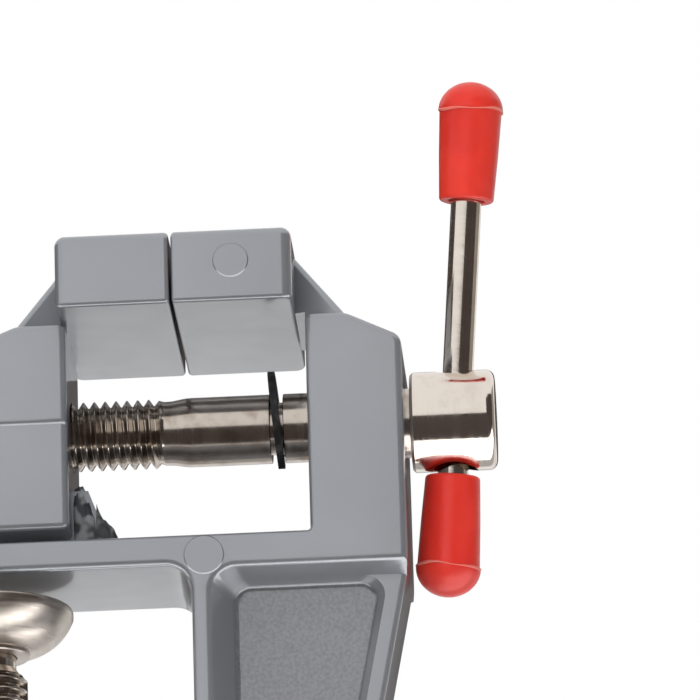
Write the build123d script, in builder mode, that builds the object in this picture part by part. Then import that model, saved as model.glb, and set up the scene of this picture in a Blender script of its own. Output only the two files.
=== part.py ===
from build123d import *
import os
from math import cos, radians, sin, tan

# Mini table vise in millimetres.
# The origin lies on the table seat, under the rail, on the axis of the table clamp screw.
# +X runs along the vise screw towards its handle, +Y away from the front, +Z up.

# Clearances
overrun = 2.0
running_clearance = 0.05
guide_clearance = 0.25
rest_gap = 0.3

# Screws: both have the same thread, head and spigot
screw_diameter = 8.0
screw_end_chamfer = 0.9
neck_diameter = 7.3
neck_ramp = 0.6
head_diameter = 11.5
head_length = 9.7
head_round = 1.0
head_chamfer = 0.35
spigot_diameter = 5.5
spigot_length = 1.9

# Tommy bars and their caps
bar_diameter = 3.5
bar_travel = 19.1
bar_lean = 5.0
bar_turn = 10.0
bar_offset = 0.2
cap_mouth_diameter = 6.3
cap_shoulder_diameter = 7.4
cap_barrel_length = 10.6
cap_dome_height = 3.35
cap_bore_depth = 9.0
cap_mouth_round = 0.5
cap_shoulder_land = 0.5

# Fixed casting: rail, post, arm and lower arm
frame_depth = 17.5
rail_thickness = 3.6
rail_left = -35.0
rail_round = 0.9
post_length = 10.9
post_corner_round = 1.6
arm_inner = 23.4
arm_taper = 11.5
arm_bend_round = 10.0
throat_height = 44.0
throat_round = 3.0
lower_arm_thickness = 12.5
lower_arm_reach = 9.5
lower_arm_nose_round = 6.0
lower_boss_diameter = 15.0
lower_boss_height = 1.5
elbow_round = 12.0
edge_round = 0.8

# Pockets on both sides of the arm
pocket_rim = 2.0
pocket_top_drop = 0.3
pocket_bottom_lift = 3.5
pocket_depth = 4.5
rebate_depth = 3.0
pocket_left_run = 2.7
pocket_top_run = 1.5
pocket_right_run = 1.1
pocket_bottom_run = 2.4
pocket_corner_round = 3.0
pocket_floor_corner = 2.0
pocket_floor_round = 0.7
rib_round = 0.6

# Jaws
screw_height = 18.4
grip_plane = 22.05
jaw_gap = 0.3
jaw_width = 27.0
jaw_underside = 29.7
jaw_height = 8.7
jaw_round = 1.2
nose_foot_round = 0.5
grip_edge_round = 0.5
fixed_nose_length = 13.7
fixed_post_offset = 14.95
moving_nose_length = 13.0
moving_post_offset = 12.4
moving_post_length = 13.1
gusset_foot_depth = 17.0
gusset_tip_depth = 13.2
gusset_round = 0.6
fixed_gusset_drop = 1.5
fixed_gusset_run = 5.6
moving_gusset_drop = 2.2
moving_gusset_run = 4.8
post_top_drop = 3.4
gusset_bend_round = 4.0
post_foot_round = 0.4
moving_jaw_floor = 5.0
cheek_height = 17.3
cheek_step = 0.4

# Ejector marks on the front of the frame: raised discs
nose_mark_diameter = 4.1
nose_mark_place = (29.0, 34.4)
rail_mark_diameter = 4.6
rail_mark_place = (24.9, 1.0)
mark_height = 0.15
mark_draft = 40.0

# Dovetail guide on the rail
guide_root_width = 6.0
guide_top_width = 8.4
guide_height = 7.0
guide_end = 14.2
guide_end_run = 2.6
guide_start_inset = 1.0

# Vise screw
vise_screw_left = -30.0
vise_thread_end = 20.3
vise_shank_start = 23.1
head_gap = 0.6
clip_place = 33.2
clip_thickness = 0.8
clip_groove_width = 1.0
clip_groove_diameter = 6.0
clip_diameter = 13.2
clip_mouth_width = 5.2
clip_prong_drop = 3.7

# Table clamp
pad_diameter = 18.6
pad_gap = 2.2
pad_rim = 0.9
pad_dome_height = 4.0
pad_neck_diameter = 8.6
pad_neck_height = 0.5
pad_crown = 1.6
tip_diameter = 5.4
tip_showing = 1.4
tip_cone = 0.9
clamp_head_drop = 3.0

# Values worked out from those above
screw_radius = screw_diameter / 2
head_radius = head_diameter / 2
bar_hole_diameter = bar_diameter + head_diameter * tan(radians(bar_lean)) + rest_gap
jaw_top = jaw_underside + jaw_height
rail_top = rail_thickness
post_inner = grip_plane + fixed_post_offset
post_outer = post_inner + post_length
throat_floor = -throat_height
lower_arm_bottom = throat_floor - lower_arm_thickness
boss_bottom = lower_arm_bottom - lower_boss_height
taper_slope = tan(radians(arm_taper))
head_start = post_outer + head_gap
vise_head_centre = Vector(head_start + head_length / 2, 0, screw_height)
pad_top = -pad_gap
pad_bottom = pad_top - pad_rim - pad_dome_height - pad_neck_height
tip_top = pad_top - pad_crown - running_clearance
clamp_head_top = boss_bottom - clamp_head_drop
clamp_head_centre = Vector(0, 0, clamp_head_top - head_length / 2)
lean_rise = cap_mouth_diameter / 2 * sin(radians(bar_lean))
cap_reach = (head_radius + rest_gap + lean_rise) / cos(radians(bar_lean))

screw_axis = Axis((0, 0, screw_height), (1, 0, 0))
clamp_axis = Axis.Z


def jaw_points(side, nose_length, gusset_drop, gusset_run, post_offset, post_far):
    """Outlines of a jaw's post and gusset, mirrored by side about the grip plane."""
    near = jaw_gap / 2
    nose_end = near + nose_length
    post_top = jaw_underside - post_top_drop
    gusset_top = jaw_top - gusset_drop
    nose_middle = near + nose_length / 2
    shelf = jaw_underside - rest_gap
    bend = nose_end + gusset_run

    def place(offset, height):
        return (grip_plane + side * offset, height)

    crown = [place(post_far, post_top), place(bend, shelf), place(post_offset, shelf)]
    gusset = [
        place(nose_middle, jaw_underside + rest_gap),
        place(nose_middle, gusset_top),
        place(nose_end, gusset_top),
        place(bend, shelf),
        place(bend, shelf - post_top_drop),
        place(post_offset, shelf - post_top_drop),
        place(post_offset, jaw_underside + rest_gap),
    ]
    return crown, gusset


def gusset_block(outline):
    """Solid of a gusset: nearly as deep as the post at its foot, and narrower at the nose."""
    middle, tip, foot = outline[1][0], outline[2][0], outline[3][0]
    half_foot, half_tip = gusset_foot_depth / 2, gusset_tip_depth / 2
    half_middle = half_tip + (half_tip - half_foot) * (middle - tip) / (tip - foot)
    slope_height = (outline[2][1] + outline[3][1]) / 2
    with BuildPart(mode=Mode.PRIVATE) as block:
        with BuildSketch(Plane.XZ):
            with BuildLine():
                Polyline(*outline, close=True)
            make_face()
        extrude(amount=frame_depth / 2, both=True)
        with BuildSketch(Plane.XY):
            with BuildLine():
                Polyline((foot, -half_foot), (foot, half_foot), (middle, half_middle), (middle, -half_middle),
                         close=True)
            make_face()
        extrude(amount=jaw_top, mode=Mode.INTERSECT)
        slope_edges = [edge for edge in block.edges()
                       if abs(edge.center().Z - slope_height) < rest_gap and abs(edge.center().Y) > rest_gap]
        fillet(slope_edges, gusset_round)
    return block.part


def nose_span(side, nose_length):
    """Lowest and highest X of a jaw's nose."""
    ends = [grip_plane + side * jaw_gap / 2, grip_plane + side * (jaw_gap / 2 + nose_length)]
    return min(ends), max(ends)


def dovetail(clearance, height):
    """Corners of the dovetail section, from below the rail's top face upwards."""
    root = guide_root_width / 2 + clearance
    top = guide_top_width / 2 + clearance
    return [(-root, rail_top - overrun), (root, rail_top - overrun), (root, rail_top),
            (top, height), (-top, height), (-root, rail_top)]


def rebate_corners(run_share):
    """Corners of a pocket's outer step, which runs out past the arm's right side."""
    left = arm_inner + pocket_rim + run_share * pocket_left_run
    top = -pocket_top_drop - run_share * pocket_top_run
    bottom = lower_arm_bottom + pocket_bottom_lift + run_share * pocket_bottom_run
    right = post_outer + overrun
    return [(left, top), (left, bottom), (right, bottom), (right, top)]


def pocket_corners(run_share, right_share):
    """Corners of a pocket at a share of its depth, with its own share for the right wall."""
    left, top = rebate_corners(run_share)[0]
    bottom = rebate_corners(run_share)[1][1]
    right_edge = post_outer - pocket_rim - right_share * pocket_right_run
    return [(left, top), (left, bottom), (right_edge + bottom * taper_slope, bottom),
            (right_edge + top * taper_slope, top)]


# Frame: one casting with the fixed jaw, post, rail, arm and lower arm
fixed_far = post_outer - grip_plane
fixed_crown, fixed_gusset = jaw_points(
    1, fixed_nose_length, fixed_gusset_drop, fixed_gusset_run, fixed_post_offset, fixed_far)
fixed_left, fixed_right = nose_span(1, fixed_nose_length)
elbow = post_outer + lower_arm_bottom * taper_slope

with BuildPart() as frame:
    with BuildSketch(Plane.XZ):
        with Locations(((fixed_left + fixed_right) / 2, jaw_underside + jaw_height / 2)):
            Rectangle(fixed_right - fixed_left, jaw_height)
    extrude(amount=jaw_width / 2, both=True)
    kept_edges = frame.faces().sort_by(Axis.X)[0].edges()
    kept_edges += frame.faces().sort_by(Axis.Z)[0].edges()
    fillet(frame.edges().filter_by(lambda edge: edge not in kept_edges), jaw_round)
    grip_edges = frame.faces().sort_by(Axis.X)[0].edges()
    foot_edges = frame.faces().sort_by(Axis.Z)[0].edges()
    fillet(foot_edges.filter_by(lambda edge: edge not in grip_edges), nose_foot_round)
    fillet(frame.faces().sort_by(Axis.X)[0].edges(), grip_edge_round)
    with BuildSketch(Plane.XZ):
        with BuildLine():
            FilletPolyline(
                (rail_left, 0),
                (arm_inner, 0),
                (arm_inner, throat_floor),
                (-lower_arm_reach, throat_floor),
                (-lower_arm_reach, lower_arm_bottom),
                (elbow, lower_arm_bottom),
                (post_outer, 0),
                *fixed_crown,
                (post_inner, rail_top),
                (rail_left, rail_top),
                radius=[rail_round, throat_round, throat_round, 0, 0, elbow_round,
                        arm_bend_round, post_corner_round, gusset_bend_round, edge_round,
                        post_foot_round, rail_round],
                close=True,
            )
        make_face()
    extrude(amount=frame_depth / 2, both=True)
    fillet([edge for edge in frame.edges().filter_by(Axis.Z)
            if abs(edge.center().X + lower_arm_reach) < running_clearance], lower_arm_nose_round)
    # Pockets with drafted walls on the front and the back of the arm, beside a rib that lies deeper
    rebate_share = rebate_depth / pocket_depth
    rebate_corner = pocket_corner_round + rebate_share * (pocket_floor_corner - pocket_corner_round)
    for side in (-1, 1):
        for depth, run_share, corner in ((0, 0, pocket_corner_round),
                                         (rebate_depth, rebate_share, rebate_corner)):
            with BuildSketch(Plane.XZ.offset(side * (depth - frame_depth / 2))):
                with BuildLine():
                    FilletPolyline(*rebate_corners(run_share), radius=[corner, corner, 0, 0], close=True)
                make_face()
        loft(ruled=True, mode=Mode.SUBTRACT)
        for depth, run_share, right_share, corner in ((rebate_depth, rebate_share, 0, rebate_corner),
                                                      (pocket_depth, 1, 1, pocket_floor_corner)):
            with BuildSketch(Plane.XZ.offset(side * (depth - frame_depth / 2))):
                with BuildLine():
                    FilletPolyline(*pocket_corners(run_share, right_share), radius=corner, close=True)
                make_face()
        loft(ruled=True, mode=Mode.SUBTRACT)
    side_faces = [face for face in frame.faces().filter_by(Plane.XZ)
                  if abs(abs(face.center().Y) - frame_depth / 2) < running_clearance]
    fillet([edge for face in side_faces for edge in face.edges()], edge_round)
    for side in (-1, 1):
        floor_place = side * (frame_depth / 2 - pocket_depth)
        pocket_floors = [face for face in frame.faces().filter_by(Plane.XZ)
                         if abs(face.center().Y - floor_place) < running_clearance]
        fillet([edge for face in pocket_floors for edge in face.edges()], pocket_floor_round)
        rib_place = side * (frame_depth / 2 - rebate_depth)
        rib_edges = frame.edges().filter_by(lambda edge: abs(edge.center().Y - rib_place) < running_clearance)
        outer_edge = rib_edges.sort_by(SortBy.LENGTH)[-2:].sort_by(Axis.X)[-1]
        fillet(outer_edge, rib_round)
    add(gusset_block(fixed_gusset))
    # Clamp end of the lower arm: rounded in plan, with a boss under the thread
    with BuildSketch(Plane.XY.offset(boss_bottom)):
        Circle(lower_boss_diameter / 2)
    extrude(amount=lower_boss_height + lower_arm_thickness / 2)
    # Dovetail guide with a sloped end
    with BuildSketch(Plane.YZ.offset(rail_left + guide_start_inset)):
        with BuildLine():
            Polyline(*dovetail(0, rail_top + guide_height), close=True)
        make_face()
    extrude(amount=guide_end - rail_left - guide_start_inset)
    with BuildSketch(Plane.XZ):
        with BuildLine():
            Polyline(
                (guide_end, rail_top),
                (guide_end + overrun, rail_top),
                (guide_end + overrun, rail_top + guide_height + overrun),
                (guide_end - guide_end_run, rail_top + guide_height + overrun),
                (guide_end - guide_end_run, rail_top + guide_height),
                close=True,
            )
        make_face()
    extrude(amount=guide_top_width, both=True, mode=Mode.SUBTRACT)
    # Ejector marks
    for depth, place, diameter in ((jaw_width, nose_mark_place, nose_mark_diameter),
                                   (frame_depth, rail_mark_place, rail_mark_diameter)):
        with BuildSketch(Plane.XZ.offset(depth / 2)):
            with Locations(place):
                Circle(diameter / 2)
        extrude(amount=mark_height, taper=mark_draft)
    # Bores for the two screws
    with BuildSketch(Plane.YZ.offset(post_inner - overrun)):
        with Locations((0, screw_height)):
            Circle(screw_radius + running_clearance)
    extrude(amount=post_outer - post_inner + 2 * overrun, mode=Mode.SUBTRACT)
    with BuildSketch(Plane.XY.offset(boss_bottom - overrun)):
        Circle(screw_radius + running_clearance)
    extrude(amount=throat_floor - boss_bottom + 2 * overrun, mode=Mode.SUBTRACT)
frame.part.label = "frame"

# Moving jaw: nose, post and the dovetail slot that rides on the rail
moving_far = moving_post_offset + moving_post_length
moving_crown, moving_gusset = jaw_points(
    -1, moving_nose_length, moving_gusset_drop, moving_gusset_run, moving_post_offset, moving_far)
moving_left, moving_right = nose_span(-1, moving_nose_length)
moving_inner = grip_plane - moving_post_offset
moving_outer = grip_plane - moving_far

with BuildPart() as moving_jaw:
    with BuildSketch(Plane.XZ):
        with Locations(((moving_left + moving_right) / 2, jaw_underside + jaw_height / 2)):
            Rectangle(moving_right - moving_left, jaw_height)
    extrude(amount=jaw_width / 2, both=True)
    kept_edges = moving_jaw.faces().sort_by(Axis.X)[-1].edges()
    kept_edges += moving_jaw.faces().sort_by(Axis.Z)[0].edges()
    fillet(moving_jaw.edges().filter_by(lambda edge: edge not in kept_edges), jaw_round)
    grip_edges = moving_jaw.faces().sort_by(Axis.X)[-1].edges()
    foot_edges = moving_jaw.faces().sort_by(Axis.Z)[0].edges()
    fillet(foot_edges.filter_by(lambda edge: edge not in grip_edges), nose_foot_round)
    fillet(moving_jaw.faces().sort_by(Axis.X)[-1].edges(), grip_edge_round)
    with BuildSketch(Plane.XZ):
        with BuildLine():
            FilletPolyline(
                *moving_crown,
                (moving_inner, cheek_height),
                (moving_outer, cheek_height),
                radius=[post_corner_round, gusset_bend_round, edge_round, 0, 0],
                close=True,
            )
        make_face()
    extrude(amount=frame_depth / 2, both=True)
    side_faces = [face for face in moving_jaw.faces().filter_by(Plane.XZ)
                  if abs(abs(face.center().Y) - frame_depth / 2) < running_clearance]
    fillet([edge for face in side_faces for edge in face.edges()], edge_round)
    # Lower cheeks, a step narrower than the upper ones
    lower_depth = frame_depth - 2 * cheek_step
    lower_top = cheek_height + edge_round
    with BuildPart(mode=Mode.PRIVATE) as cheeks:
        with BuildSketch(Plane.XZ):
            with Locations(((moving_inner + moving_outer) / 2, (moving_jaw_floor + lower_top) / 2)):
                Rectangle(moving_inner - moving_outer, lower_top - moving_jaw_floor)
        extrude(amount=lower_depth / 2, both=True)
        floor_edges = cheeks.faces().sort_by(Axis.Z)[0].edges().filter_by(Axis.Y)
        fillet(floor_edges, edge_round)
        fillet([edge for face in cheeks.faces().filter_by(Plane.XZ) for edge in face.edges()
                if edge.center().Z < cheek_height], edge_round)
    add(cheeks.part)
    add(gusset_block(moving_gusset))
    with BuildSketch(Plane.YZ.offset(moving_outer - overrun)):
        with BuildLine():
            Polyline(*dovetail(guide_clearance, rail_top + guide_height + guide_clearance), close=True)
        make_face()
        with Locations((0, screw_height)):
            Circle(screw_radius + running_clearance)
    extrude(amount=moving_far + 2 * overrun, mode=Mode.SUBTRACT)
moving_jaw.part.label = "moving_jaw"

# Vise screw: thread, rolled neck, shank with the clip groove, and a spigot for its head
neck_radius = neck_diameter / 2
groove_left = clip_place - clip_groove_width / 2
groove_right = clip_place + clip_groove_width / 2
groove_radius = clip_groove_diameter / 2

with BuildPart() as vise_screw:
    with BuildSketch(Plane.XZ):
        with BuildLine():
            Polyline(
                (vise_screw_left, screw_height),
                (vise_screw_left, screw_height + screw_radius - screw_end_chamfer),
                (vise_screw_left + screw_end_chamfer, screw_height + screw_radius),
                (vise_thread_end, screw_height + screw_radius),
                (vise_thread_end + neck_ramp, screw_height + neck_radius),
                (vise_shank_start - neck_ramp, screw_height + neck_radius),
                (vise_shank_start, screw_height + screw_radius),
                (groove_left, screw_height + screw_radius),
                (groove_left, screw_height + groove_radius),
                (groove_right, screw_height + groove_radius),
                (groove_right, screw_height + screw_radius),
                (head_start, screw_height + screw_radius),
                (head_start, screw_height + spigot_diameter / 2),
                (head_start + spigot_length, screw_height + spigot_diameter / 2),
                (head_start + spigot_length, screw_height),
                close=True,
            )
        make_face()
    revolve(axis=screw_axis)
vise_screw.part.label = "vise_screw"

# Retaining clip: open ring that snaps into the groove from above
with BuildPart() as retaining_clip:
    with BuildSketch(Plane.YZ.offset(clip_place - clip_thickness / 2)):
        with Locations((0, screw_height)):
            Circle(clip_diameter / 2)
            Circle(groove_radius + running_clearance, mode=Mode.SUBTRACT)
        with Locations((0, screw_height - clip_diameter / 2)):
            Rectangle(clip_mouth_width, clip_diameter, mode=Mode.SUBTRACT)
        with Locations((0, screw_height - clip_prong_drop - clip_diameter / 2)):
            Rectangle(clip_diameter, clip_diameter, mode=Mode.SUBTRACT)
    extrude(amount=clip_thickness)
retaining_clip.part.label = "retaining_clip"


def make_head(name, centre, along, across):
    """Turned head on a screw's end, with a spigot bore and a cross hole for its bar."""
    start = centre - along * (head_length / 2)
    profile_plane = Plane(origin=start, x_dir=along, z_dir=along.cross(across))
    with BuildPart() as head:
        with BuildSketch(profile_plane):
            with BuildLine():
                FilletPolyline(
                    (0, spigot_diameter / 2),
                    (0, head_radius - head_chamfer),
                    (head_chamfer, head_radius),
                    (head_length, head_radius),
                    (head_length, 0),
                    (spigot_length + running_clearance, 0),
                    (spigot_length + running_clearance, spigot_diameter / 2),
                    radius=[0, 0, 0, head_round, 0, 0, 0],
                    close=True,
                )
            make_face()
        revolve(axis=Axis(start, along))
        hole_start = centre + along * bar_offset - across * head_diameter
        with BuildSketch(Plane(origin=hole_start, z_dir=across)):
            Circle(bar_hole_diameter / 2)
        extrude(amount=2 * head_diameter, mode=Mode.SUBTRACT)
    head.part.label = name
    return head.part


def make_bar(name, centre, along, low, high):
    """Plain round bar between two distances from centre."""
    with BuildPart() as bar:
        with BuildSketch(Plane(origin=centre + along * low, z_dir=along)):
            Circle(bar_diameter / 2)
        extrude(amount=high - low)
    bar.part.label = name
    return bar.part


def make_cap(name, mouth, along, across):
    """Moulded cap: tapered barrel, domed end and a blind bore for the bar."""
    shoulder = cap_shoulder_diameter / 2
    dome_radius = (shoulder**2 + cap_dome_height**2) / (2 * cap_dome_height)
    with BuildPart() as cap:
        with BuildSketch(Plane(origin=mouth, x_dir=across, z_dir=across.cross(along))):
            with BuildLine():
                barrel = FilletPolyline(
                    (bar_diameter / 2, cap_bore_depth),
                    (bar_diameter / 2, 0),
                    (cap_mouth_diameter / 2, 0),
                    (shoulder, cap_barrel_length - cap_shoulder_land),
                    (shoulder, cap_barrel_length),
                    radius=[0, cap_mouth_round, cap_shoulder_land],
                )
                dome = RadiusArc(
                    (shoulder, cap_barrel_length),
                    (0, cap_barrel_length + cap_dome_height),
                    -dome_radius,
                )
                Polyline(dome @ 1, (0, cap_bore_depth), barrel @ 0)
            make_face()
        revolve(axis=Axis(mouth, along))
    cap.part.label = name
    return cap.part


# Vise handle: head, leaning bar and two caps
along_x = Vector(1, 0, 0)
along_z = Vector(0, 0, 1)
turned_up = Vector(0, -sin(radians(bar_turn)), cos(radians(bar_turn)))
lean = along_x * sin(radians(bar_lean)) + turned_up * cos(radians(bar_lean))
lean_side = along_x * cos(radians(bar_lean)) - turned_up * sin(radians(bar_lean))
upper_mouth = cap_reach + bar_travel
vise_screw_head = make_head("vise_screw_head", vise_head_centre, along_x, turned_up)
vise_bar_centre = vise_head_centre + along_x * bar_offset
vise_bar = make_bar("vise_bar", vise_bar_centre, lean,
                    -cap_reach - cap_bore_depth, upper_mouth + cap_bore_depth)
vise_bar_cap_upper = make_cap("vise_bar_cap_upper", vise_bar_centre + lean * upper_mouth,
                              lean, lean_side)
vise_bar_cap_lower = make_cap("vise_bar_cap_lower", vise_bar_centre - lean * cap_reach,
                              -lean, lean_side)

# Clamp pad: domed cup that turns on the tip of the clamp screw
dome_bottom = pad_top - pad_rim - pad_dome_height
socket_radius = tip_diameter / 2 + running_clearance

with BuildPart() as clamp_pad:
    with BuildSketch(Plane.XZ):
        with BuildLine():
            Polyline(
                (pad_neck_diameter / 2, dome_bottom),
                (pad_neck_diameter / 2, pad_bottom),
                (socket_radius, pad_bottom),
                (socket_radius, pad_top - pad_crown),
                (0, pad_top - pad_crown),
                (0, pad_top),
                (pad_diameter / 2, pad_top),
                (pad_diameter / 2, pad_top - pad_rim),
            )
            SagittaArc(
                (pad_diameter / 2, pad_top - pad_rim),
                (pad_neck_diameter / 2, dome_bottom),
                pad_rim,
            )
        make_face()
    revolve(axis=clamp_axis)
clamp_pad.part.label = "clamp_pad"

# Clamp screw: tip in the pad, thread through the lower arm, spigot for its head
cone_top = pad_bottom - tip_showing

with BuildPart() as clamp_screw:
    with BuildSketch(Plane.XZ):
        with BuildLine():
            Polyline(
                (0, tip_top),
                (tip_diameter / 2, tip_top),
                (tip_diameter / 2, cone_top),
                (screw_radius, cone_top - tip_cone),
                (screw_radius, clamp_head_top),
                (spigot_diameter / 2, clamp_head_top),
                (spigot_diameter / 2, clamp_head_top - spigot_length),
                (0, clamp_head_top - spigot_length),
                close=True,
            )
        make_face()
    revolve(axis=clamp_axis)
clamp_screw.part.label = "clamp_screw"

# Clamp handle: its bar lies on the lower side of the cross hole, at mid travel
clamp_bar_drop = (bar_hole_diameter - bar_diameter) / 2 - running_clearance
clamp_bar_centre = clamp_head_centre - along_z * (bar_offset + clamp_bar_drop)
clamp_mouth = cap_reach + bar_travel / 2
clamp_screw_head = make_head("clamp_screw_head", clamp_head_centre, -along_z, along_x)
clamp_bar = make_bar("clamp_bar", clamp_bar_centre, along_x,
                     -clamp_mouth - cap_bore_depth, clamp_mouth + cap_bore_depth)
clamp_bar_cap_left = make_cap("clamp_bar_cap_left", clamp_bar_centre - along_x * clamp_mouth,
                              -along_x, along_z)
clamp_bar_cap_right = make_cap("clamp_bar_cap_right", clamp_bar_centre + along_x * clamp_mouth,
                               along_x, along_z)

os.makedirs("parts", exist_ok=True)
pieces = [
    frame.part, moving_jaw.part, vise_screw.part, retaining_clip.part, vise_screw_head,
    vise_bar, vise_bar_cap_upper, vise_bar_cap_lower, clamp_pad.part, clamp_screw.part,
    clamp_screw_head, clamp_bar, clamp_bar_cap_left, clamp_bar_cap_right,
]
for piece in pieces:
    export_step(piece, f"parts/{piece.label}.step")
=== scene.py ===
"""Looks of a mini table vise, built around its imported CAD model.

Lengths in the dataclasses are millimetres in the CAD frame, and every mesh is in metres.
"""
import logging
from dataclasses import dataclass, field
from enum import Enum
from typing import Optional, Sequence

import bmesh
import bpy
import numpy as np
from mathutils import Matrix


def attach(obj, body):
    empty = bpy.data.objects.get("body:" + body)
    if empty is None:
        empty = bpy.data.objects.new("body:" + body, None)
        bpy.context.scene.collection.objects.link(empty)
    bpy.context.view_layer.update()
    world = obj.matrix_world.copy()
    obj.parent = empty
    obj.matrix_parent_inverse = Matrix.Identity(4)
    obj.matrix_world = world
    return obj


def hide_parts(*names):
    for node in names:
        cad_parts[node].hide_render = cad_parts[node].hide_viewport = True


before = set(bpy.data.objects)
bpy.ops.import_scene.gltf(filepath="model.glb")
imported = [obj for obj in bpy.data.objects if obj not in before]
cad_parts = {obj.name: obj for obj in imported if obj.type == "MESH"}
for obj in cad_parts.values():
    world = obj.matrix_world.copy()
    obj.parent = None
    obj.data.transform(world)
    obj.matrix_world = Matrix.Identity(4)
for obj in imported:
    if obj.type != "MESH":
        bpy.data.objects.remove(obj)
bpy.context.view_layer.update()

LOG = logging.getLogger("table_vise")
MM = 0.001
MERGE_DISTANCE = 1e-6
PHOTO_SIDE = 700.0
SCREW_HEIGHT = 18.4
VISE_HEAD_PLACE = 53.55
CLAMP_HEAD_HEIGHT = -66.653
BAR_LEAN_DEG = 5.0
BAR_TURN_DEG = 10.0
BAR_REACH = 6.3487
BAR_TRAVEL = 19.1
FLASH_SHARP_DEG = 60.0
THREAD_SHARP_DEG = 28.0
Colour = tuple[float, float, float]
Span = tuple[float, float]
Outline = Sequence[Span]
Material = bpy.types.Material
Socket = bpy.types.NodeSocket


class Slot(Enum):
    """Material slots of the record."""

    CASTING = "casting_paint"
    SCREW = "screw_nickel"
    BRIGHT = "bright_nickel"
    CLIP = "black_spring_steel"
    CAP = "red_cap"


class Body(Enum):
    """Moving bodies of the record."""

    FRAME = "frame"
    JAW = "moving_jaw"
    VISE_SCREW = "vise_screw"
    VISE_BAR = "vise_bar"
    PAD = "clamp_pad"
    CLAMP_SCREW = "clamp_screw"
    CLAMP_BAR = "clamp_bar"


class Along(Enum):
    """Direction of a turned piece's axis, as a Mapping scale that leaves only that axis fine."""

    X = (1.0, 0.02, 0.02)
    Z = (0.02, 0.02, 1.0)


class NodeWeb:
    """One material's node tree, with short calls that add nodes and link them."""

    def __init__(self, name: str) -> None:
        """Starts a material with its usual shader and output.

        Args:
            name: Name of the material.
        """
        self.material = bpy.data.materials.new(name)
        self.material.use_nodes = True
        self.tree = self.material.node_tree
        self.shader = self.tree.nodes["Principled BSDF"]
        self.place = self.add("ShaderNodeTexCoord").outputs["Object"]

    def add(self, kind: str, **settings: object) -> bpy.types.Node:
        """Adds a node and sets its properties.

        Args:
            kind: Blender's name of the node type.
            settings: Properties of the node.

        Returns:
            The new node.
        """
        node = self.tree.nodes.new(kind)
        for key, value in settings.items():
            setattr(node, key, value)
        return node

    def feed(self, socket: Socket, value: object) -> None:
        """Links a socket to another one, or sets its value.

        Args:
            socket: Input that is fed.
            value: Output socket, or a plain value.
        """
        if isinstance(value, bpy.types.NodeSocket):
            self.tree.links.new(value, socket)
        else:
            socket.default_value = value

    def stretched(self, scale: Sequence[float]) -> Socket:
        """Scales object coordinates.

        Args:
            scale: Factor for each axis.

        Returns:
            The scaled coordinates.
        """
        node = self.add("ShaderNodeMapping")
        self.feed(node.inputs["Vector"], self.place)
        node.inputs["Scale"].default_value = scale
        return node.outputs["Vector"]

    def noise(self, scale: float, detail: float = 3.0, place: Optional[Socket] = None) -> Socket:
        """Adds a noise texture.

        Args:
            scale: Features per metre.
            detail: Octaves of finer noise.
            place: Coordinates, object coordinates where none are given.

        Returns:
            The noise as a number around a half.
        """
        node = self.add("ShaderNodeTexNoise")
        node.inputs["Scale"].default_value = scale
        node.inputs["Detail"].default_value = detail
        self.feed(node.inputs["Vector"], place or self.place)
        return node.outputs["Fac"]

    def remap(
        self, value: Socket, low: float, high: float, out_low: float = 0.0, out_high: float = 1.0
    ) -> Socket:
        """Moves a number smoothly from one range to another, and holds it there.

        Args:
            value: The number.
            low: Start of its range.
            high: End of its range.
            out_low: Result at the start.
            out_high: Result at the end.

        Returns:
            The moved number.
        """
        node = self.add("ShaderNodeMapRange", interpolation_type="SMOOTHSTEP")
        for socket, number in zip(node.inputs[1:5], (low, high, out_low, out_high)):
            socket.default_value = number
        self.feed(node.inputs[0], value)
        return node.outputs[0]

    def math(self, operation: str, first: object, second: object = 0.0) -> Socket:
        """Adds a Math node.

        Args:
            operation: Blender's name of the operation.
            first: Number or socket.
            second: Number or socket.

        Returns:
            The result.
        """
        node = self.add("ShaderNodeMath", operation=operation)
        self.feed(node.inputs[0], first)
        self.feed(node.inputs[1], second)
        return node.outputs[0]

    def mix(self, share: Socket, first: object, second: object) -> Socket:
        """Mixes two colours.

        Args:
            share: How much of the second colour shows.
            first: Colour or socket.
            second: Colour or socket.

        Returns:
            The mixed colour.
        """
        node = self.add("ShaderNodeMix", data_type="RGBA")
        self.feed(node.inputs[0], share)
        for socket, value in ((node.inputs[6], first), (node.inputs[7], second)):
            self.feed(socket, value if isinstance(value, bpy.types.NodeSocket) else (*value, 1.0))
        return node.outputs[2]

    def bump(self, height: Socket, depth_mm: float, before: Optional[Socket] = None) -> Socket:
        """Adds a bump.

        Args:
            height: Height as a number from 0 to 1.
            depth_mm: Depth of the bump in millimetres.
            before: Normal of an earlier bump.

        Returns:
            The bumped normal.
        """
        node = self.add("ShaderNodeBump")
        node.inputs["Distance"].default_value = depth_mm * MM
        self.feed(node.inputs["Height"], height)
        if before is not None:
            self.feed(node.inputs["Normal"], before)
        return node.outputs["Normal"]

    def finish(self, **inputs: object) -> Material:
        """Sets the shader's inputs.

        Args:
            inputs: Values or sockets by input name, with _ for a space.

        Returns:
            The finished material.
        """
        for key, value in inputs.items():
            self.feed(self.shader.inputs[key.replace("_", " ")], value)
        return self.material


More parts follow.
